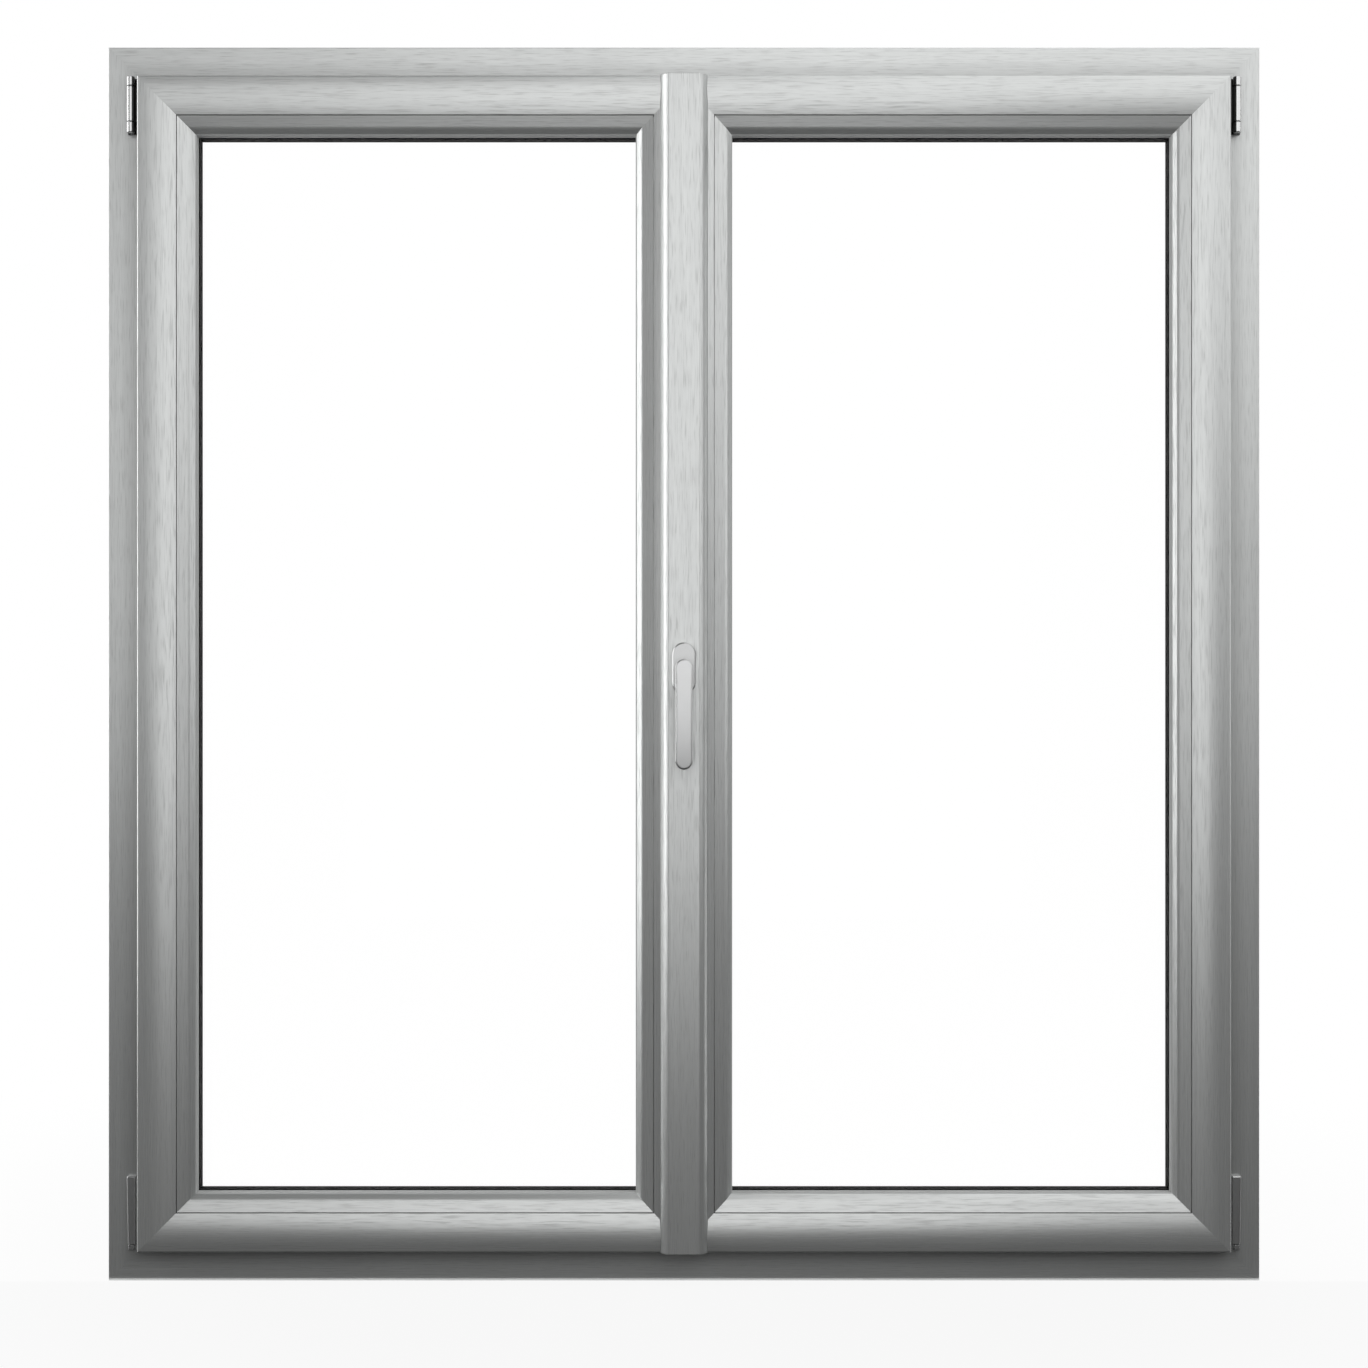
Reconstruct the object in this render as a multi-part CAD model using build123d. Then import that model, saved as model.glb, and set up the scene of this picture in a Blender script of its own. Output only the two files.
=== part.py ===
from build123d import *
import os
from math import cos, radians, sin, tan

# A two-leaf PVC window. Millimetres, +X right as seen from the room, +Y outdoors, +Z up.
# The origin lies in the middle of the frame's underside, at half its depth.
# A section is drawn with its first number running in from an edge towards the glass, and its
# second number, called the level here, running towards the room from the frame's room face.

# Whole window
window_width = 1400.0
window_height = 1500.0

# Frame section
frame_depth = 70.0
frame_face = 47.0  # outer edge to rebate
stop_height = 20.0  # outer stop above the rebate
stop_depth = 17.0
stop_slope = 12.0  # degrees
frame_arris = 1.0
snap_groove_width = 5.0
snap_groove_depth = 3.0
snap_groove_inset = 12.0  # groove middle from the frame's faces

# Sash section
overlap = 8.0  # sash flange over the frame
room_seal = 4.0  # flange to frame face
outer_seal = 3.0  # sash to outer stop
flange_depth = 16.0
rebate_air = 12.0
sash_face = 46.6  # sash edge to bead joint
outer_turn = 10.0  # degrees the bowed face falls away at the sash edge
joint_turn = 20.0  # degrees it falls away at the bead joint
sash_arris = 2.5
leg_depth = 12.0  # outer glazing leg
leg_height = 20.0
leg_slope = 14.0  # degrees
flange_gasket_inset = 2.0
flange_gasket_width = 5.0
stop_gasket_width = 6.0
stop_gasket_inset = 0.5

# Glazing
pane_thickness = 4.0
pane_spacing = 16.0
glazing_gasket = 3.0
glazing_gasket_width = 7.8
spacer_height = 12.0
spacer_setback = 0.5  # spacer behind the bead's nose

# Glazing bead
bead_width = 22.4
bead_facet = 14.2  # width of the flatter facet
bead_tilt = 21.0  # degrees of the flatter facet
bead_wall = 10.6  # nose above the bead's underside
bead_round = 11.0
lip_width = 1.4  # soft lip along the bead's nose
lip_round = 1.0
joint_groove = 1.0
joint_groove_depth = 7.0
clip_height = 3.0
clip_depth = 3.0
clip_level = 2.5  # middle of the clip
clip_clearance = 0.3

# Meeting stiles
nose_to_nose = 117.2  # between the two bead noses
meeting_line = -17.0  # middle of the gap between the leaves
meeting_gap = 6.0
cover_seat = 13.0  # level of the seat milled for the inner cover strip
cover_clearance = 0.3

# Cover strips
cover_width = 57.0
cover_flat = 37.2
cover_height = 15.0
cover_wall = 5.0  # upright foot of the shoulders
shoulder_turn = 40.0  # degrees a shoulder turns through above its foot
outer_cover_height = 12.0
outer_cover_round = 4.0
outer_cover_end_gap = 3.0

# Handle
handle_height = 744.5  # pivot above the frame's underside
rosette_width = 28.5
rosette_height = 62.0
rosette_depth = 11.0
rosette_arris = 1.6
boss_radius = 7.5
boss_depth = 6.0
boss_clearance = 0.05
turn_gap = 0.3  # between faces that turn past each other
neck_radius = 9.0
neck_waist = 7.0
neck_length = 28.0
grip_width = 21.0
grip_waist = 20.0
grip_length = 130.4
grip_depth = 12.0
grip_round = 2.0
grip_back_arris = 1.5

# Hinges
hinge_axis_inset = 30.0  # from the frame's outer edge
hinge_axis_level = 11.0
barrel_radius = 5.0
pin_radius = 2.5
pin_clearance = 0.2
top_cap_length = 11.4
sleeve_length = 43.7
bottom_cap_length = 12.7
barrel_gap = 0.5
barrel_arris = 0.8
bracket_width = 11.0
bracket_depth = 3.0
web_width = 4.0
hinge_leaf_depth = 3.0
hinge_leaf_level = 5.0
cap_width = 11.0
cap_depth = 6.0
cap_height = 83.0
cap_inset = 22.8  # from the frame's outer edge
cap_taper = 1.5  # narrowing towards the foot
cap_round = 3.0
cap_arris = 1.0
pivot_width = 7.5
pivot_height = 6.0
pivot_depth = 5.0
pivot_gap = 0.6

# Drain hoods on the sill
drain_width = 42.0
drain_height = 13.0
drain_depth = 5.0
drain_level = 26.0  # middle above the underside
drain_spacing = 450.0

# Levels and heights that follow from the sizes above
room_face = -frame_depth / 2
sash_edge = frame_face - overlap
sash_front = room_seal + flange_depth
sash_back = stop_depth + outer_seal - frame_depth
body_edge = overlap + rebate_air
face_radius = sash_face / (sin(radians(outer_turn)) + sin(radians(joint_turn)))
face_crest = face_radius * sin(radians(outer_turn))
joint_level = sash_front - face_radius * (1 - cos(radians(joint_turn)))
leg_room = sash_back + leg_depth
leg_tip = sash_face + leg_height
outer_pane_back = leg_room + glazing_gasket
spacer_back = outer_pane_back + pane_thickness
inner_pane_back = spacer_back + pane_spacing
bead_back = inner_pane_back + pane_thickness + glazing_gasket
bead_nose = sash_face + bead_width
nose_level = bead_back + bead_wall
facet_end = sash_face + joint_groove + bead_facet
facet_level = joint_level - bead_facet * tan(radians(bead_tilt))
lip_start = bead_nose - lip_width
lip_level = nose_level + lip_width * (facet_level - nose_level) / (bead_nose - facet_end)
spacer_edge = bead_nose - spacer_setback
glass_edge = spacer_edge - spacer_height
lock_edge = nose_to_nose / 2 - bead_nose
active_end = meeting_line + meeting_gap / 2
passive_end = meeting_line - meeting_gap / 2
cover_front = cover_seat + cover_height
stop_tip = frame_face + stop_height
grip_back = cover_front + rosette_depth + turn_gap + neck_length

# Rectangles as left, right, bottom, top
frame_rectangle = (-window_width / 2, window_width / 2, 0.0, window_height)
hinge_edge = window_width / 2 - sash_edge
sash_top = window_height - sash_edge
right_rectangle = (lock_edge, hinge_edge, sash_edge, sash_top)
left_rectangle = (-hinge_edge, -lock_edge, sash_edge, sash_top)
SIDES = ("bottom", "right", "top", "left")
LEFT_LEAF = {"hinge": "left", "lock": "right"}
RIGHT_LEAF = {"hinge": "right", "lock": "left"}


def side_plane(side, rectangle):
    """The plane at one side's start: X runs inwards, Y towards the room and Z along the side."""
    left, right, bottom, top = rectangle
    planes = {
        "bottom": Plane((left, room_face, bottom), x_dir=(0, 0, 1), z_dir=(1, 0, 0)),
        "right": Plane((right, room_face, bottom), x_dir=(-1, 0, 0), z_dir=(0, 0, 1)),
        "top": Plane((right, room_face, top), x_dir=(0, 0, -1), z_dir=(-1, 0, 0)),
        "left": Plane((left, room_face, top), x_dir=(1, 0, 0), z_dir=(0, 0, -1)),
    }
    return planes[side]


def side_length(side, rectangle):
    left, right, bottom, top = rectangle
    return right - left if side in ("bottom", "top") else top - bottom


def mitred(section, side, rectangle):
    """A bar of the section along one side of the rectangle, mitred at both of its corners."""
    plane = side_plane(side, rectangle)
    length = side_length(side, rectangle)
    reach = section.bounding_box()
    near = min(reach.min.X, 0) - 1
    far = reach.max.X + 1
    bar = extrude(plane * section, amount=length, dir=plane.z_dir)
    outline = Polyline(
        (near, 0),
        (0, 0),
        (far, far),
        (far, length - far),
        (0, length),
        (near, length),
        close=True,
    )
    face_on = Plane(plane.origin, x_dir=plane.x_dir, z_dir=-plane.y_dir)
    trapezium = extrude(face_on * make_face(outline), amount=2 * frame_depth, both=True)
    return bar & trapezium


def block(left, right, low_level, high_level, bottom, top):
    """A box between two levels."""
    middle = Pos((left + right) / 2, room_face - (low_level + high_level) / 2, (bottom + top) / 2)
    return middle * Box(right - left, high_level - low_level, top - bottom)


def ring(rectangle, start, width, low_level, high_level):
    """A flat rectangular ring, its outside lying a start inside the rectangle."""
    left, right, bottom, top = rectangle
    end = start + width
    outside = block(left + start, right - start, low_level, high_level, bottom + start, top - start)
    return outside - block(left + end, right - end, low_level, high_level, bottom + end, top - end)


def at_corner(section, across, level):
    """The section's corner nearest to a point."""
    return section.vertices().sort_by_distance((across, level, 0))[0]


def room_plane(x, level, z):
    """A plane facing the room: X right, Y up and Z towards the room."""
    return Plane((x, room_face - level, z), x_dir=(1, 0, 0), z_dir=(0, -1, 0))


def plan_plane(z):
    """A plane for sections seen from above: X right, Y towards the room and Z down."""
    return Plane((0, room_face, z), x_dir=(1, 0, 0), z_dir=(0, 0, -1))


def frame_section():
    stop_room = stop_depth - frame_depth
    stop_tip_outside = stop_tip - stop_depth * tan(radians(stop_slope))
    outline = Polyline(
        (0, 0),
        (frame_face, 0),
        (frame_face, stop_room),
        (stop_tip, stop_room),
        (stop_tip_outside, -frame_depth),
        (0, -frame_depth),
        close=True,
    )
    section = make_face(outline)
    rounded = [
        at_corner(section, 0, 0),
        at_corner(section, frame_face, 0),
        at_corner(section, stop_tip, stop_room),
        at_corner(section, stop_tip_outside, -frame_depth),
        at_corner(section, 0, -frame_depth),
    ]
    section = fillet(rounded, frame_arris)
    groove = Rectangle(2 * snap_groove_depth, snap_groove_width)
    section -= Pos(0, -snap_groove_inset) * groove
    section -= Pos(0, snap_groove_inset - frame_depth) * groove
    return section


def face_level(across):
    """Level of the bowed sash face at a distance from the sash edge."""
    run = across - face_crest
    return sash_front - face_radius + (face_radius**2 - run**2) ** 0.5


def sash_section(edge, flange):
    """Sash section from an edge to the outer glazing leg, with or without the flange."""
    slope_tip = leg_tip - leg_depth * tan(radians(leg_slope))
    middle = (edge + sash_face) / 2
    bow = ThreePointArc(
        (edge, face_level(edge)),
        (middle, face_level(middle)),
        (sash_face, joint_level),
    )
    back = [(body_edge, sash_back), (body_edge, room_seal), (edge, room_seal)]
    if not flange:
        back = [(edge, sash_back)]
    points = [
        (sash_face, joint_level),
        (sash_face, leg_room),
        (leg_tip, leg_room),
        (slope_tip, sash_back),
        *back,
        (edge, face_level(edge)),
    ]
    section = make_face(bow + Polyline(*points))
    section = fillet(at_corner(section, slope_tip, sash_back), frame_arris)
    if flange:
        section = fillet(at_corner(section, edge, face_level(edge)), sash_arris)
    slot_height = clip_height + 2 * clip_clearance
    slot = Rectangle(2 * (clip_depth + clip_clearance), slot_height)
    return section - Pos(sash_face, clip_level) * slot


def bead_section():
    """Glazing bead with two facets and a clip, its nose left open for the soft lip."""
    start = sash_face + joint_groove
    clip_low = clip_level - clip_height / 2
    clip_high = clip_level + clip_height / 2
    shoulder = joint_level - joint_groove_depth
    outline = Polyline(
        (start, joint_level),
        (facet_end, facet_level),
        (lip_start, lip_level),
        (lip_start, bead_back),
        (sash_face, bead_back),
        (sash_face, clip_low),
        (sash_face - clip_depth, clip_low),
        (sash_face - clip_depth, clip_high),
        (sash_face, clip_high),
        (sash_face, shoulder),
        (start, shoulder),
        close=True,
    )
    section = make_face(outline)
    return fillet(at_corner(section, facet_end, facet_level), bead_round)


def lip_section():
    """Soft lip that carries on the bead's steeper facet and turns down to the gasket."""
    outline = Polyline(
        (lip_start, lip_level),
        (bead_nose, nose_level),
        (bead_nose, bead_back),
        (lip_start, bead_back),
        close=True,
    )
    section = make_face(outline)
    return fillet(at_corner(section, bead_nose, nose_level), lip_round)


def sash_members(rectangle, leaf, lock_end):
    """The four mitred members of one leaf, trimmed at the meeting line and seated for the cover."""
    section = sash_section(0, True)
    inner = abs(lock_end - rectangle[1 if leaf["lock"] == "right" else 0])
    beyond = lock_end < lock_edge if leaf["lock"] == "left" else lock_end > -lock_edge
    lock_section = sash_section(-inner if beyond else inner, False)
    top = plan_plane(window_height)
    seat = extrude(top * cover_section(cover_clearance), amount=window_height, dir=(0, 0, -1))
    far_side = window_width if leaf["lock"] == "right" else -window_width
    low, high = sorted((lock_end, far_side))
    past_line = block(low, high, -frame_depth, frame_depth, 0, window_height)
    below = block(-window_width, window_width, -frame_depth, room_seal, 0, sash_edge + body_edge)
    above = Pos(0, 0, window_height - sash_edge - body_edge) * below
    return {
        "top_rail": mitred(section, "top", rectangle) - past_line - seat,
        "bottom_rail": mitred(section, "bottom", rectangle) - past_line - seat,
        "hinge_stile": mitred(section, leaf["hinge"], rectangle),
        "lock_stile": mitred(lock_section, leaf["lock"], rectangle) - seat - below - above,
    }


def bead_members(rectangle, leaf):
    section = bead_section()
    return {
        "top": mitred(section, "top", rectangle),
        "bottom": mitred(section, "bottom", rectangle),
        "hinge_side": mitred(section, leaf["hinge"], rectangle),
        "lock_side": mitred(section, leaf["lock"], rectangle),
    }


def bead_lips(rectangle):
    section = lip_section()
    return Compound(children=[mitred(section, side, rectangle).solid() for side in SIDES])


def pane(rectangle, low_level):
    left, right, bottom, top = rectangle
    return block(
        left + glass_edge,
        right - glass_edge,
        low_level,
        low_level + pane_thickness,
        bottom + glass_edge,
        top - glass_edge,
    )


def glazing_gaskets(rectangle):
    room_start = spacer_edge - glazing_gasket_width
    outer_start = leg_tip - glazing_gasket_width
    room_low = bead_back - glazing_gasket
    room_side = ring(rectangle, room_start, glazing_gasket_width, room_low, bead_back)
    outside = ring(rectangle, outer_start, glazing_gasket_width, leg_room, outer_pane_back)
    return Compound(children=[*room_side.solids(), *outside.solids()])


def flange_gasket(rectangle, leaf, lock_end):
    """The seal behind the flange on three sides of a leaf, open at the meeting stile."""
    left, right, bottom, top = rectangle
    start = flange_gasket_inset
    end = start + flange_gasket_width
    if leaf["hinge"] == "right":
        outer = block(lock_end, right - start, 0, room_seal, bottom + start, top - start)
        return outer - block(lock_end - end, right - end, 0, room_seal, bottom + end, top - end)
    outer = block(left + start, lock_end, 0, room_seal, bottom + start, top - start)
    return outer - block(left + end, lock_end + end, 0, room_seal, bottom + end, top - end)


def cover_section(clearance):
    """Room-side cover strip: a flat front between two swelling shoulders, with a clearance around it."""
    half = cover_width / 2 + clearance
    half_flat = cover_flat / 2 + clearance
    foot = cover_seat + cover_wall
    front = cover_front + clearance
    swell = tan(radians(shoulder_turn / 4)) / 2
    bulge = (half + half_flat) / 2 + swell * (front - foot)
    bulge_level = (foot + front) / 2 + swell * (half - half_flat)
    outline = [
        Polyline((-half, foot), (-half, cover_seat), (half, cover_seat), (half, foot)),
        ThreePointArc((half, foot), (bulge, bulge_level), (half_flat, front)),
        Line((half_flat, front), (-half_flat, front)),
        ThreePointArc((-half_flat, front), (-bulge, bulge_level), (-half, foot)),
    ]
    return make_face(outline)


def inner_cover():
    length = sash_top - sash_edge
    return extrude(plan_plane(sash_top) * cover_section(0), amount=length, dir=(0, 0, -1))


def outer_cover():
    """Weather-side cover strip between the frame's stops."""
    low = stop_tip + outer_cover_end_gap
    section = Rectangle(cover_width, outer_cover_height)
    section = fillet(section.vertices().group_by(Axis.Y)[0], outer_cover_round)
    section = Pos(0, sash_back - outer_cover_height / 2) * section
    return extrude(plan_plane(window_height - low) * section, amount=window_height - 2 * low, dir=(0, 0, -1))


def handle_rosette():
    base = room_plane(0, cover_front, handle_height)
    body = extrude(base * SlotOverall(rosette_height, rosette_width, rotation=90), amount=rosette_depth)
    rim = body.edges().group_by(Axis.Y)[0]
    body = chamfer(rim, rosette_arris)
    recess = room_plane(0, cover_front + rosette_depth - boss_depth, handle_height)
    return body - extrude(recess * Circle(boss_radius + boss_clearance), amount=boss_depth)


def grip_outline():
    """Lever seen from the room: round ends and sides drawn in slightly to a waist."""
    half = grip_width / 2
    waist = grip_waist / 2
    run = grip_length - grip_width
    return make_face(
        [
            ThreePointArc((-half, 0), (0, half), (half, 0)),
            ThreePointArc((half, 0), (waist, -run / 2), (half, -run)),
            ThreePointArc((half, -run), (0, -run - half), (-half, -run)),
            ThreePointArc((-half, -run), (-waist, -run / 2), (-half, 0)),
        ]
    )


def handle_lever():
    rosette_front = cover_front + rosette_depth
    grip = extrude(room_plane(0, grip_back, handle_height) * grip_outline(), amount=grip_depth)
    grip = fillet(grip.edges().group_by(Axis.Y)[0], grip_round)
    grip = chamfer(grip.edges().group_by(Axis.Y)[-1], grip_back_arris)
    boss_start = turn_gap - boss_depth
    neck_top = turn_gap + neck_length
    side = Polyline(
        (0, boss_start),
        (boss_radius, boss_start),
        (boss_radius, turn_gap),
        (neck_radius, turn_gap),
        (neck_waist, turn_gap + neck_length / 2),
        (neck_waist, neck_top),
        (0, neck_top),
        close=True,
    )
    upright = Plane((0, room_face - rosette_front, handle_height), x_dir=(1, 0, 0), z_dir=(0, 0, -1))
    neck = revolve(upright * make_face(side), axis=Axis(upright.origin, (0, 1, 0)))
    return grip + neck


def barrel(x, bottom, length):
    cylinder = Pos(x, room_face - hinge_axis_level, bottom) * extrude(Circle(barrel_radius), amount=length)
    return chamfer(cylinder.edges().filter_by(GeomType.CIRCLE), barrel_arris)


def top_hinge(side):
    """Frame bracket with its two end knuckles and pin, and the sleeve that the sash carries."""
    x = side * (window_width / 2 - hinge_axis_inset)
    y = room_face - hinge_axis_level
    length = top_cap_length + sleeve_length + bottom_cap_length
    bottom = sash_top - length
    sleeve_bottom = bottom + bottom_cap_length
    sleeve_top = sleeve_bottom + sleeve_length
    plate = block(x - bracket_width / 2, x + bracket_width / 2, 0, bracket_depth, bottom, sash_top)
    web_left = x - web_width / 2
    web_right = x + web_width / 2
    web_low = block(web_left, web_right, bracket_depth, hinge_axis_level, bottom, sleeve_bottom)
    web_high = block(web_left, web_right, bracket_depth, hinge_axis_level, sleeve_top, sash_top)
    pin = Pos(x, y, bottom + barrel_arris) * extrude(Circle(pin_radius), amount=length - 2 * barrel_arris)
    bracket = plate + web_low + web_high + pin
    bracket += barrel(x, bottom, bottom_cap_length) + barrel(x, sleeve_top, top_cap_length)
    leaf_bottom = sleeve_bottom + barrel_gap
    leaf_length = sleeve_length - 2 * barrel_gap
    edge = side * hinge_edge
    low, high = sorted((x, edge))
    leaf_top = hinge_leaf_level + hinge_leaf_depth
    leaf = block(low, high, hinge_leaf_level, leaf_top, leaf_bottom, leaf_bottom + leaf_length)
    bore = Pos(x, y, bottom) * extrude(Circle(pin_radius + pin_clearance), amount=length)
    sleeve = barrel(x, leaf_bottom, leaf_length) + leaf - bore
    return bracket, sleeve


def bottom_hinge(side):
    """Tapered cover cap over the corner hinge and the pivot block below it."""
    outer = side * (window_width / 2 - cap_inset)
    inner = outer - side * cap_width
    bottom = sash_edge + pivot_height
    top = bottom + cap_height
    outline = Polyline(
        (outer, top),
        (outer - side * cap_taper, bottom),
        (inner, bottom),
        (inner, top),
        close=True,
    )
    cap = extrude(room_plane(0, 0, 0) * make_face(outline), amount=cap_depth)
    front = cap.faces().sort_by(Axis.Y)[0].edges().sort_by(Axis.X)
    outer_edge = front[-1] if side > 0 else front[0]
    cap = fillet(outer_edge, cap_round)
    cap = chamfer(cap.faces().sort_by(Axis.Y)[0].edges().filter_by(Axis.X), cap_arris)
    middle = (outer + inner) / 2
    half = pivot_width / 2
    pivot = block(middle - half, middle + half, 0, pivot_depth, sash_edge, bottom - pivot_gap)
    pivot = fillet(pivot.edges().filter_by(Axis.Z).group_by(Axis.Y)[0], half / 2)
    return cap, pivot


def drain_covers():
    """Three hoods over the drainage slots of the sill, each wedge open at its foot."""
    foot = drain_level - drain_height / 2
    side = Polyline(
        (0, 0),
        (drain_depth, 0),
        (drain_depth / 4, drain_height),
        (0, drain_height),
        close=True,
    )
    start = Plane((0, frame_depth / 2, foot), x_dir=(0, 1, 0), z_dir=(1, 0, 0))
    hood = extrude(start * make_face(side), amount=drain_width / 2, both=True)
    hoods = [Pos(place * drain_spacing, 0, 0) * hood for place in (-1, 0, 1)]
    return Compound(children=[solid for each in hoods for solid in each.solids()])


parts = {}
frame = frame_section()
parts["frame_head"] = mitred(frame, "top", frame_rectangle)
parts["frame_sill"] = mitred(frame, "bottom", frame_rectangle)
parts["frame_left_jamb"] = mitred(frame, "left", frame_rectangle)
parts["frame_right_jamb"] = mitred(frame, "right", frame_rectangle)
stop_gasket_start = stop_tip - stop_gasket_inset - stop_gasket_width
parts["frame_gasket"] = ring(
    frame_rectangle, stop_gasket_start, stop_gasket_width, sash_back - outer_seal, sash_back
)

leaves = {
    "left": (left_rectangle, LEFT_LEAF, passive_end),
    "right": (right_rectangle, RIGHT_LEAF, active_end),
}
for name, (rectangle, leaf, lock_end) in leaves.items():
    for member, solid in sash_members(rectangle, leaf, lock_end).items():
        parts[f"{name}_sash_{member}"] = solid
    for member, solid in bead_members(rectangle, leaf).items():
        parts[f"{name}_bead_{member}"] = solid
    parts[f"{name}_bead_lips"] = bead_lips(rectangle)
    parts[f"{name}_sash_gasket"] = flange_gasket(rectangle, leaf, lock_end)
    parts[f"{name}_outer_pane"] = pane(rectangle, outer_pane_back)
    parts[f"{name}_inner_pane"] = pane(rectangle, inner_pane_back)
    parts[f"{name}_spacer"] = ring(rectangle, glass_edge, spacer_height, spacer_back, inner_pane_back)
    parts[f"{name}_glazing_gaskets"] = glazing_gaskets(rectangle)

parts["inner_cover_strip"] = inner_cover()
parts["outer_cover_strip"] = outer_cover()
parts["handle_rosette"] = handle_rosette()
parts["handle_lever"] = handle_lever()
for name, side in (("left", -1), ("right", 1)):
    parts[f"{name}_top_hinge_bracket"], parts[f"{name}_top_hinge_sleeve"] = top_hinge(side)
    parts[f"{name}_bottom_hinge_cap"], parts[f"{name}_bottom_hinge_pivot"] = bottom_hinge(side)
parts["drain_covers"] = drain_covers()

os.makedirs("parts", exist_ok=True)
for name, solid in parts.items():
    export_step(solid, f"parts/{name}.step")
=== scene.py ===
import math

import bpy
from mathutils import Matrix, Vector


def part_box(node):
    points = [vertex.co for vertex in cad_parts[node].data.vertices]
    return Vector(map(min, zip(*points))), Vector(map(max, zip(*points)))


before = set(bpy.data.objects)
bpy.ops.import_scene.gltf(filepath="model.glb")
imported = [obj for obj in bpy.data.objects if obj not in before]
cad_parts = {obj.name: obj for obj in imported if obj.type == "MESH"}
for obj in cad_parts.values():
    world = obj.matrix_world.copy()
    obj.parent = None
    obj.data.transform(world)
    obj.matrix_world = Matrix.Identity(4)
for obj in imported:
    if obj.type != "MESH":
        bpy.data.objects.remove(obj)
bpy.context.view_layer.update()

bl_info = {
    "name": "PVC Window",
    "version": (1, 0, 0),
    "blender": (4, 5, 0),
    "location": "View3D > Sidebar > Window",
    "description": "Dresses a two-leaf PVC window and sets it up for a studio picture",
    "category": "Object",
}

PICTURE_SIDE = 1368
ROOM_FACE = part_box("frame_sill")[0].y
SASH_LOW, SASH_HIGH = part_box("right_sash_hinge_stile")
SASH_MIDDLE = (SASH_HIGH.z + SASH_LOW.z) / 2.0
SASH_HALF = SASH_HIGH.z - SASH_MIDDLE
SASH_FACE = 0.0466
JOINT_WIDTH = 0.001
JOINT_MARGIN = 0.0001
JOINT_DEPTH = 0.008
# Depth from the frame's room face within which the sashes' shade is painted on the frame.
SHADE_DEPTH = 0.004
STRIP_EDGE = 0.0015
LEVER_EDGE = 0.0025
ROSETTE_EDGE = 0.001
HINGE_EDGE = 0.0005
# Front share of a top hinge's depth that stays silver, and distance inside the hinge axis where the
# painted shade begins.
HINGE_FRONT_SHARE = 0.36
HINGE_SHADE_FROM_AXIS = 0.0022
LEVER_SWELL = 0.6
FLOOR_HALF = 8.0
CLOTH_GAP = 0.002
SENSOR_WIDTH = 36.0
# Dark colour of the painted shade beside the sashes and in the joints at the head and the foot.
PAINTED_SHADE = (0.01, 0.01, 0.01, 1.0)
# Near-black painted as the shade on the back of the top hinges and on their side towards the sash.
HINGE_SHADE_COLOUR = (0.006, 0.006, 0.006, 1.0)
WHITE = (1.0, 1.0, 1.0, 1.0)
UPRIGHT_NODES = (
    "left_sash_hinge_stile",
    "left_sash_lock_stile",
    "right_sash_hinge_stile",
    "right_sash_lock_stile",
    "left_bead_hinge_side",
    "left_bead_lock_side",
    "right_bead_hinge_side",
    "right_bead_lock_side",
)
LEVEL_NODES = (
    "left_sash_top_rail",
    "left_sash_bottom_rail",
    "right_sash_top_rail",
    "right_sash_bottom_rail",
    "left_bead_top",
    "left_bead_bottom",
    "right_bead_top",
    "right_bead_bottom",
)


class FoilSettings(bpy.types.PropertyGroup):
    """Grey foil with a grain along each member."""

    colour: bpy.props.FloatVectorProperty(
        name="Colour",
        description="Middle tone of the foil",
        subtype="COLOR",
        size=3,
        default=(0.60, 0.612, 0.606),
        min=0.0,
        max=1.0,
    )
    contrast: bpy.props.FloatProperty(
        name="Grain contrast",
        description="How far the streaks depart from the middle tone",
        subtype="FACTOR",
        default=0.16,
        min=0.0,
        max=1.0,
    )
    pore_width: bpy.props.FloatProperty(
        name="Pore width",
        description="Width of the dark pores in the grain",
        unit="LENGTH",
        default=0.001,
    )
    pore_length: bpy.props.FloatProperty(
        name="Pore length",
        description="Length of the dark pores in the grain",
        unit="LENGTH",
        default=0.03,
    )
    roughness: bpy.props.FloatProperty(
        name="Roughness",
        description="Roughness of the foil between its streaks",
        subtype="FACTOR",
        default=0.315,
        min=0.0,
        max=1.0,
    )
    # Width of the painted shade that the sashes would cast on the frame.
    shade_width: bpy.props.FloatProperty(
        name="Painted shade width",
        description="Width of the darker band on the frame beside the sashes",
        unit="LENGTH",
        default=0.028,
    )


class FittingSettings(bpy.types.PropertyGroup):
    """Satin silver handle and hinges."""

    colour: bpy.props.FloatVectorProperty(
        name="Colour",
        description="Colour of the silver finish",
        subtype="COLOR",
        size=3,
        default=(0.56, 0.565, 0.565),
        min=0.0,
        max=1.0,
    )
    roughness: bpy.props.FloatProperty(
        name="Roughness",
        description="Roughness of the silver finish",
        subtype="FACTOR",
        default=0.34,
        min=0.0,
        max=1.0,
    )


class StageSettings(bpy.types.PropertyGroup):
    """Camera and dark tent."""

    distance: bpy.props.FloatProperty(
        name="Camera distance",
        description="Camera to the frame's room face",
        unit="LENGTH",
        default=2.5,
    )
    height: bpy.props.FloatProperty(
        name="Camera height",
        description="Camera above the floor",
        unit="LENGTH",
        default=0.7257,
    )
    field: bpy.props.FloatProperty(
        name="Picture width",
        description="Width that the picture covers at the frame's room face",
        unit="LENGTH",
        default=0.0012164 * PICTURE_SIDE,
    )
    tent_side: bpy.props.FloatProperty(
        name="Tent half width",
        description="Middle of the dark tent to each of its sides",
        unit="LENGTH",
        default=2.9,
    )
    tent_depth: bpy.props.FloatProperty(
        name="Tent depth",
        description="Window to the front of the dark tent",
        unit="LENGTH",
        default=3.1,
    )
    tent_height: bpy.props.FloatProperty(
        name="Tent height",
        description="Floor to the top of the dark tent",
        unit="LENGTH",
        default=3.1,
    )


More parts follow.
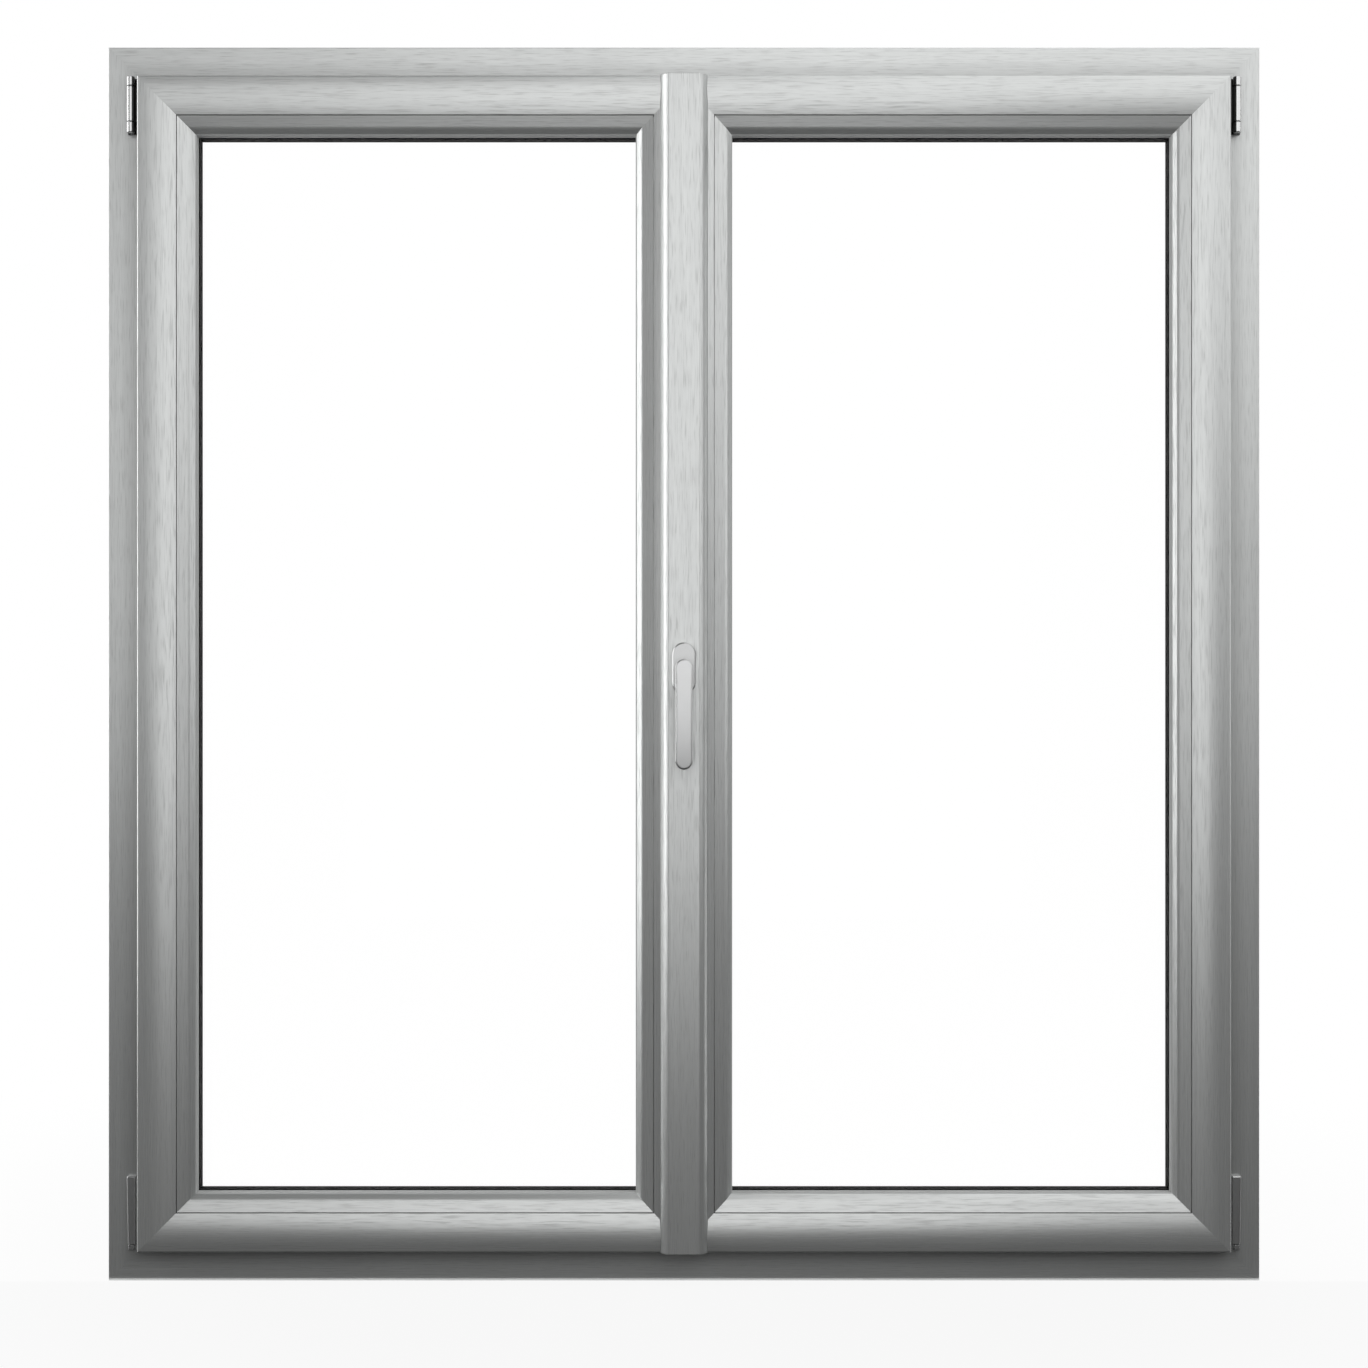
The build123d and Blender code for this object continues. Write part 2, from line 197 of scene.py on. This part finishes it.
class Value:
    """A number that changes over a surface. Python's operators add Math nodes to it."""

    def __init__(self, tree, socket):
        self.tree = tree
        self.socket = socket

    def maths(self, operation, first, second):
        node = self.tree.nodes.new("ShaderNodeMath")
        node.operation = operation
        for socket, given in zip(node.inputs, (first, second)):
            if isinstance(given, Value):
                self.tree.links.new(given.socket, socket)
            else:
                socket.default_value = given
        return Value(self.tree, node.outputs[0])

    def __add__(self, other):
        return self.maths("ADD", self, other)

    def __radd__(self, other):
        return self.maths("ADD", other, self)

    def __sub__(self, other):
        return self.maths("SUBTRACT", self, other)

    def __rsub__(self, other):
        return self.maths("SUBTRACT", other, self)

    def __mul__(self, other):
        return self.maths("MULTIPLY", self, other)

    def __rmul__(self, other):
        return self.maths("MULTIPLY", other, self)

    def __abs__(self):
        return self.maths("ABSOLUTE", self, 0.0)

    def __gt__(self, other):
        return self.maths("GREATER_THAN", self, other)

    def __lt__(self, other):
        return self.maths("LESS_THAN", self, other)


class Shading:
    """The node tree of a material or a world, emptied and built up again."""

    def __init__(self, owner):
        owner.use_nodes = True
        self.tree = owner.node_tree
        self.tree.nodes.clear()

    def join(self, value, socket):
        """Sets a socket from a plain value or links it to another socket."""
        if isinstance(value, Value):
            self.tree.links.new(value.socket, socket)
        elif isinstance(value, bpy.types.NodeSocket):
            self.tree.links.new(value, socket)
        else:
            socket.default_value = value

    def node(self, kind, settings=None, sockets=None):
        """Adds a node, sets its settings first and then its sockets from values or links."""
        node = self.tree.nodes.new(kind)
        for name, value in (settings or {}).items():
            setattr(node, name, value)
        for name, value in (sockets or {}).items():
            self.join(value, node.inputs[name])
        return node

    def number(self, socket):
        return Value(self.tree, socket)

    def place(self, scale):
        """Object coordinates stretched by a scale."""
        spot = self.node("ShaderNodeTexCoord")
        stretched = self.node(
            "ShaderNodeMapping",
            {"vector_type": "POINT"},
            {"Vector": spot.outputs["Object"], "Scale": scale},
        )
        return stretched.outputs["Vector"]

    def noise(self, scale, detail=2.0, rough=0.5):
        """Noise between 0 and 1 over stretched object coordinates."""
        made = self.node(
            "ShaderNodeTexNoise",
            {"noise_dimensions": "3D"},
            {"Vector": self.place(scale), "Scale": 1.0, "Detail": detail, "Roughness": rough},
        )
        return self.number(made.outputs["Fac"])

    def step(self, value, low, high):
        """A value brought to 0 below a low limit and to 1 above a high one."""
        made = self.node(
            "ShaderNodeMapRange",
            {"interpolation_type": "SMOOTHSTEP"},
            {"Value": value, "From Min": low, "From Max": high},
        )
        return self.number(made.outputs["Result"])

    def rounded(self, radius):
        """Normals that turn gradually round the edges."""
        return self.node("ShaderNodeBevel", {"samples": 6}, {"Radius": radius}).outputs["Normal"]

    def position(self, axis):
        """One of a place's object coordinates."""
        spot = self.node("ShaderNodeTexCoord")
        parts = self.node("ShaderNodeSeparateXYZ", {}, {"Vector": spot.outputs["Object"]})
        return self.number(parts.outputs[axis])

    def mix(self, factor, first, second):
        made = self.node("ShaderNodeMix", {"data_type": "RGBA"})
        for name, value in (("Factor_Float", factor), ("A_Color", first), ("B_Color", second)):
            self.join(value, next(s for s in made.inputs if s.identifier == name))
        return next(s for s in made.outputs if s.identifier == "Result_Color")


class Finish(Shading):
    """A material under construction."""

    def __init__(self, name):
        self.material = bpy.data.materials.new(name)
        super().__init__(self.material)
        self.output = self.node("ShaderNodeOutputMaterial")

    def surface(self, shader):
        self.tree.links.new(shader, self.output.inputs["Surface"])
        return self.material

    def principled(self, sockets):
        return self.node("ShaderNodeBsdfPrincipled", {}, sockets).outputs["BSDF"]


def shade(colour, factor):
    """A colour made lighter or darker, opaque."""
    return (*(min(1.0, channel * factor) for channel in colour), 1.0)


def sash_shade(finish, along, settings):
    """1 next to the sashes on the frame's room face, falling to 0 over the width of the painted shade
    that stands for the sashes' shade on the frame.
    """
    if along == 2:
        away = abs(finish.position("X")) - SASH_HIGH.x
    else:
        away = abs(finish.position("Z") - SASH_MIDDLE) - SASH_HALF
    on_face = finish.position("Y") < ROOM_FACE + SHADE_DEPTH
    return (1.0 - finish.step(away, 0.1 * settings.shade_width, settings.shade_width)) * on_face


def joint_shade(finish):
    """1 inside the joint between sash and bead along the head and the foot, where shade is painted
    dark into the groove.
    """
    inwards = SASH_HALF - abs(finish.position("Z") - SASH_MIDDLE)
    past_sash = inwards > SASH_FACE - JOINT_MARGIN
    before_bead = inwards < SASH_FACE + JOINT_WIDTH + JOINT_MARGIN
    near_room = finish.position("Y") < ROOM_FACE + JOINT_DEPTH
    return past_sash * before_bead * near_room


def foil_finish(name, along, settings, sash_shaded=False, edge_round=0.0):
    """Foil whose grain runs along one axis: 0 for X, 2 for Z."""
    finish = Finish(name)
    fine = [1.0 / settings.pore_width] * 3
    fine[along] = 1.0 / settings.pore_length
    broad = [420.0] * 3
    broad[along] = 7.0
    cloud = [14.0] * 3
    cloud[along] = 2.5
    pores = finish.step(finish.noise(fine, 2.0, 0.55), 0.51, 0.66)
    bands = finish.noise(broad, 2.0, 0.5)
    drift = finish.noise(cloud, 2.0, 0.5)
    tone = 0.62 + (bands - 0.5) * 0.6 + (drift - 0.5) * 0.25 - pores * 0.5
    colour = finish.mix(
        tone,
        shade(settings.colour, 1.0 - settings.contrast),
        shade(settings.colour, 1.0 + settings.contrast),
    )
    # Painted shade: the frame is darkened beside the sashes, where they shade it.
    if sash_shaded:
        colour = finish.mix(0.24 * sash_shade(finish, along, settings), colour, PAINTED_SHADE)
    # Painted shade in the joints between sash and bead along the head and the foot.
    elif along == 0:
        colour = finish.mix(0.8 * joint_shade(finish), colour, PAINTED_SHADE)
    relief = {"Strength": 0.1, "Distance": 0.0003, "Height": pores * 0.7 + bands * 0.3}
    if edge_round > 0.0:
        relief["Normal"] = finish.rounded(edge_round)
    bump = finish.node("ShaderNodeBump", {"invert": True}, relief)
    shader = finish.principled(
        {
            "Base Color": colour,
            "Roughness": settings.roughness + 0.1 * pores,
            "Metallic": 0.64,
            "Normal": bump.outputs["Normal"],
        }
    )
    return finish.surface(shader)


def rubber_finish():
    finish = Finish("black_rubber")
    mottle = finish.noise((420.0, 420.0, 420.0), 3.0)
    colour = finish.mix(mottle, (0.003, 0.003, 0.003, 1.0), (0.009, 0.009, 0.009, 1.0))
    shader = finish.principled(
        {"Base Color": colour, "Roughness": 0.6 + 0.2 * mottle, "Specular IOR Level": 0.15}
    )
    return finish.surface(shader)


def lip_finish(settings):
    finish = Finish("soft_lip")
    mottle = finish.noise((500.0, 500.0, 500.0), 2.0)
    colour = finish.mix(mottle, shade(settings.colour, 0.8), shade(settings.colour, 0.92))
    shader = finish.principled(
        {"Base Color": colour, "Roughness": 0.6 + 0.15 * mottle, "Specular IOR Level": 0.15}
    )
    return finish.surface(shader)


def spacer_finish():
    finish = Finish("black_spacer")
    mottle = finish.noise((300.0, 300.0, 300.0), 2.0)
    colour = finish.mix(mottle, (0.016, 0.016, 0.016, 1.0), (0.03, 0.03, 0.03, 1.0))
    shader = finish.principled(
        {"Base Color": colour, "Roughness": 0.6 + 0.2 * mottle, "Specular IOR Level": 0.05}
    )
    return finish.surface(shader)


def glass_finish():
    finish = Finish("clear_glass")
    haze = finish.noise((3.0, 3.0, 3.0), 2.0)
    shader = finish.principled(
        {
            "Base Color": WHITE,
            "Roughness": 0.004 * haze,
            "IOR": 1.1,
            "Transmission Weight": 1.0,
        }
    )
    return finish.surface(shader)


def hinge_shade(finish, node):
    """1 where shade is painted near-black on a top hinge: its back and the side towards the sash."""
    low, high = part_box(node)
    behind = finish.position("Y") > low.y + HINGE_FRONT_SHARE * (high.y - low.y)
    axis = abs(low.x + high.x) / 2.0
    beside = abs(finish.position("X")) < axis - HINGE_SHADE_FROM_AXIS
    return 1.0 - (1.0 - behind) * (1.0 - beside)


def crowned(finish, node, normal):
    """Normals of a face that swells slightly along the node's height."""
    low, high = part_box(node)
    off = finish.position("Z") - (low.z + high.z) / 2.0
    swell = finish.node(
        "ShaderNodeBump",
        {},
        {"Strength": 1.0, "Distance": 1.0, "Height": -LEVER_SWELL * off * off, "Normal": normal},
    )
    return swell.outputs["Normal"]


def silver_finish(name, settings, tone, rough, edge_round, hinge=None, crown=None):
    """Satin silver with softened edges."""
    finish = Finish(name)
    grain = finish.noise((2600.0, 2600.0, 2600.0), 2.0)
    cloud = finish.noise((60.0, 60.0, 60.0), 2.0)
    colour = finish.mix(
        0.6 * grain + 0.4 * cloud,
        shade(settings.colour, 0.95 * tone),
        shade(settings.colour, 1.05 * tone),
    )
    metal = 0.85
    # Painted shade: the hinge's back and its side towards the sash are coloured near-black and lose
    # their metal.
    if hinge:
        shaded = hinge_shade(finish, hinge)
        colour = finish.mix(shaded, colour, HINGE_SHADE_COLOUR)
        metal = metal * (1.0 - shaded)
    normal = finish.rounded(edge_round)
    if crown:
        normal = crowned(finish, crown, normal)
    bump = finish.node(
        "ShaderNodeBump", {}, {"Strength": 0.06, "Distance": 0.0001, "Height": grain, "Normal": normal}
    )
    shader = finish.principled(
        {
            "Base Color": colour,
            "Metallic": metal,
            "Roughness": rough + 0.08 * (grain - 0.5),
            "Normal": bump.outputs["Normal"],
        }
    )
    return finish.surface(shader)


def drain_finish(settings):
    finish = Finish("drain_plastic")
    grain = finish.noise((900.0, 900.0, 900.0), 2.0)
    colour = finish.mix(grain, shade(settings.colour, 0.9), shade(settings.colour, 1.05))
    shader = finish.principled({"Base Color": colour, "Roughness": 0.4 + 0.1 * grain})
    return finish.surface(shader)


def dress(material, *names):
    """Gives CAD nodes one material."""
    for name in names:
        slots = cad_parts[name].data.materials
        slots.clear()
        slots.append(material)


class PVCWINDOW_OT_foil(bpy.types.Operator):
    """Covers the frame, sashes, beads and cover strips in foil with its grain along each member"""

    bl_idname = "pvcwindow.foil"
    bl_label = "Foil"

    def execute(self, context):
        settings = context.scene.pvcwindow_foil
        dress(foil_finish("foil_upright", 2, settings), *UPRIGHT_NODES)
        dress(foil_finish("foil_level", 0, settings), *LEVEL_NODES)
        # The jambs, head and sill carry the painted shade of the sashes.
        dress(foil_finish("foil_jamb", 2, settings, sash_shaded=True), "frame_left_jamb", "frame_right_jamb")
        dress(foil_finish("foil_head", 0, settings, sash_shaded=True), "frame_head", "frame_sill")
        strip = foil_finish("foil_strip", 2, settings, edge_round=STRIP_EDGE)
        dress(strip, "inner_cover_strip", "outer_cover_strip")
        dress(drain_finish(settings), "drain_covers")
        return {"FINISHED"}


class PVCWINDOW_OT_glazing(bpy.types.Operator):
    """Finishes the panes, the spacers between them and every gasket"""

    bl_idname = "pvcwindow.glazing"
    bl_label = "Glazing"

    def execute(self, context):
        glass = glass_finish()
        rubber = rubber_finish()
        spacer = spacer_finish()
        lip = lip_finish(context.scene.pvcwindow_foil)
        dress(rubber, "frame_gasket")
        for side in ("left", "right"):
            dress(glass, f"{side}_inner_pane", f"{side}_outer_pane")
            dress(spacer, f"{side}_spacer")
            dress(lip, f"{side}_bead_lips")
            dress(rubber, f"{side}_glazing_gaskets", f"{side}_sash_gasket")
        return {"FINISHED"}


class PVCWINDOW_OT_fittings(bpy.types.Operator):
    """Finishes the handle and the hinges in satin silver"""

    bl_idname = "pvcwindow.fittings"
    bl_label = "Fittings"

    def execute(self, context):
        settings = context.scene.pvcwindow_fittings
        rough = settings.roughness
        lever = silver_finish("silver_lever", settings, 1.06, rough, LEVER_EDGE, crown="handle_lever")
        dress(lever, "handle_lever")
        dress(silver_finish("silver_rosette", settings, 1.0, rough, ROSETTE_EDGE), "handle_rosette")
        bracket = "left_top_hinge_bracket"
        hinge = silver_finish("silver_hinge", settings, 1.15, rough - 0.08, HINGE_EDGE, hinge=bracket)
        cap = silver_finish("silver_cap", settings, 1.0, rough, HINGE_EDGE)
        for side in ("left", "right"):
            dress(hinge, f"{side}_top_hinge_bracket", f"{side}_top_hinge_sleeve")
            dress(cap, f"{side}_bottom_hinge_cap", f"{side}_bottom_hinge_pivot")
        return {"FINISHED"}


def lamp(name, place, aim, size, brightness):
    """A rectangular lamp that faces a point, with the brightness that a mirror would show of it."""
    light = bpy.data.lights.new(name, "AREA")
    light.shape = "RECTANGLE"
    light.size, light.size_y = size
    light.energy = brightness * math.pi * size[0] * size[1]
    made = bpy.data.objects.new(name, light)
    made.location = place
    made.rotation_euler = (Vector(aim) - Vector(place)).to_track_quat("-Z", "Y").to_euler()
    made.visible_transmission = False
    bpy.context.scene.collection.objects.link(made)


def stage_sheet(name, low, high):
    """A flat sheet of the stage between two corners, one of whose sizes is zero."""
    bpy.ops.object.select_all(action="DESELECT")
    bpy.ops.mesh.primitive_plane_add(size=2.0)
    made = bpy.context.active_object
    made.name = name
    flat = next(axis for axis in range(3) if low[axis] == high[axis])
    first, second = (axis for axis in range(3) if axis != flat)
    for corner in made.data.vertices:
        place = list(low)
        if corner.co.x > 0.0:
            place[first] = high[first]
        if corner.co.y > 0.0:
            place[second] = high[second]
        corner.co = place
    return made


def background_rays(finish):
    """1 for rays from the camera, and 1 for rays of a reflection or through glass."""
    path = finish.node("ShaderNodeLightPath")
    glossy = finish.number(path.outputs["Is Glossy Ray"])
    through = finish.number(path.outputs["Is Transmission Ray"])
    return finish.number(path.outputs["Is Camera Ray"]), glossy + through > 0.5


def floor_finish():
    """Pale floor that keeps the shadow close to the window and turns white away from it."""
    finish = Finish("pale_floor")
    spot = finish.node("ShaderNodeTexCoord")
    away = finish.node("ShaderNodeVectorMath", {"operation": "LENGTH"}, {0: spot.outputs["Object"]})
    fade = 0.9 + 0.1 * finish.step(finish.number(away.outputs["Value"]), 0.4, 1.6)
    camera, others = background_rays(finish)
    plain = finish.node("ShaderNodeBsdfDiffuse", {}, {"Color": (0.8, 0.8, 0.8, 1.0)})
    white = finish.node("ShaderNodeEmission", {}, {"Color": WHITE, "Strength": 1.0})
    both = finish.node(
        "ShaderNodeMixShader",
        {},
        {0: fade * camera + others, 1: plain.outputs["BSDF"], 2: white.outputs["Emission"]},
    )
    return finish.surface(both.outputs["Shader"])


def cloth_finish():
    finish = Finish("dark_cloth")
    weave = finish.noise((800.0, 800.0, 800.0), 2.0)
    colour = finish.mix(weave, (0.002, 0.002, 0.002, 1.0), (0.006, 0.006, 0.006, 1.0))
    shader = finish.principled({"Base Color": colour, "Roughness": 1.0, "Specular IOR Level": 0.0})
    return finish.surface(shader)


class PVCWINDOW_OT_stage(bpy.types.Operator):
    """Adds the pale floor, the dark tent with its soft lamps, the white surroundings and the camera"""

    bl_idname = "pvcwindow.stage"
    bl_label = "Stage"

    def execute(self, context):
        settings = context.scene.pvcwindow_stage
        scene = context.scene
        scene.view_settings.view_transform = "Standard"
        floor = stage_sheet("floor", (-FLOOR_HALF, -FLOOR_HALF, 0.0), (FLOOR_HALF, FLOOR_HALF, 0.0))
        floor.data.materials.append(floor_finish())

        cloth = cloth_finish()
        side = settings.tent_side
        front = -settings.tent_depth
        top = settings.tent_height
        near = ROOM_FACE - CLOTH_GAP
        sheets = {
            "floor_cloth": ((-side, front, CLOTH_GAP), (side, near, CLOTH_GAP)),
            "front_cloth": ((-side, front, 0.0), (side, front, top)),
            "top_cloth": ((-side, front, top), (side, 0.0, top)),
            "left_cloth": ((-side, front, 0.0), (-side, 0.0, top)),
            "right_cloth": ((side, front, 0.0), (side, 0.0, top)),
        }
        for name, (low, high) in sheets.items():
            sheet = stage_sheet(name, low, high)
            sheet.visible_camera = False
            sheet.visible_shadow = False
            sheet.visible_transmission = False
            sheet.data.materials.append(cloth)

        lamp("front_lamp", (0.0, -3.0, 1.55), (0.0, 0.0, 1.55), (1.8, 2.9), 1.44)
        lamp("front_left_lamp", (-1.5, -3.0, 1.75), (-1.5, 0.0, 1.75), (1.2, 2.5), 0.93)
        lamp("front_right_lamp", (1.85, -3.0, 2.25), (1.85, 0.0, 2.25), (1.9, 1.5), 1.25)
        lamp("front_low_lamp", (1.5, -3.0, 1.0), (1.5, 0.0, 1.0), (1.2, 1.0), 0.62)
        lamp("left_lamp", (-2.8, -0.7, 1.5), (0.0, -0.7, 1.5), (1.4, 3.0), 3.4)
        lamp("right_lamp", (2.8, -1.75, 1.7), (0.0, -1.75, 1.7), (2.5, 2.6), 1.28)
        lamp("top_lamp", (1.4, -1.5, 3.0), (1.4, -1.5, 0.0), (2.8, 3.0), 1.32)

        scene.world = bpy.data.worlds.new("white_surroundings")
        sky = Shading(scene.world)
        camera_rays, others = background_rays(sky)
        light = sky.node("ShaderNodeBackground", {}, {"Color": WHITE, "Strength": 0.8})
        blank = sky.node("ShaderNodeBackground", {}, {"Color": WHITE, "Strength": 1.0})
        mixed = sky.node(
            "ShaderNodeMixShader",
            {},
            {0: camera_rays + others, 1: light.outputs["Background"], 2: blank.outputs["Background"]},
        )
        output = sky.node("ShaderNodeOutputWorld")
        sky.tree.links.new(mixed.outputs["Shader"], output.inputs["Surface"])

        eye = bpy.data.cameras.new("camera")
        eye.sensor_width = SENSOR_WIDTH
        eye.lens = SENSOR_WIDTH * settings.distance / settings.field
        camera = bpy.data.objects.new("camera", eye)
        camera.location = (0.0, ROOM_FACE - settings.distance, settings.height)
        camera.rotation_euler = (math.radians(90.0), 0.0, 0.0)
        scene.collection.objects.link(camera)
        scene.camera = camera
        return {"FINISHED"}


class PVCWINDOW_PT_panel(bpy.types.Panel):
    """Lists the window's steps in the 3D view's sidebar."""

    bl_idname = "PVCWINDOW_PT_panel"
    bl_label = "PVC Window"
    bl_space_type = "VIEW_3D"
    bl_region_type = "UI"
    bl_category = "Window"

    def draw(self, context):
        for step in STEPS:
            self.layout.operator(step.bl_idname)
        for group in ("pvcwindow_foil", "pvcwindow_fittings", "pvcwindow_stage"):
            settings = getattr(context.scene, group)
            box = self.layout.box()
            for name in settings.__annotations__:
                box.prop(settings, name)


SETTINGS = {
    "pvcwindow_foil": FoilSettings,
    "pvcwindow_fittings": FittingSettings,
    "pvcwindow_stage": StageSettings,
}
STEPS = (
    PVCWINDOW_OT_foil,
    PVCWINDOW_OT_glazing,
    PVCWINDOW_OT_fittings,
    PVCWINDOW_OT_stage,
)


def register():
    for name, group in SETTINGS.items():
        bpy.utils.register_class(group)
        setattr(bpy.types.Scene, name, bpy.props.PointerProperty(type=group))
    for step in STEPS:
        bpy.utils.register_class(step)
    bpy.utils.register_class(PVCWINDOW_PT_panel)


def unregister():
    bpy.utils.unregister_class(PVCWINDOW_PT_panel)
    for step in reversed(STEPS):
        bpy.utils.unregister_class(step)
    for name, group in SETTINGS.items():
        delattr(bpy.types.Scene, name)
        bpy.utils.unregister_class(group)


def main():
    register()
    bpy.ops.pvcwindow.foil()
    bpy.ops.pvcwindow.glazing()
    bpy.ops.pvcwindow.fittings()
    bpy.ops.pvcwindow.stage()


if __name__ == "__main__":
    main()
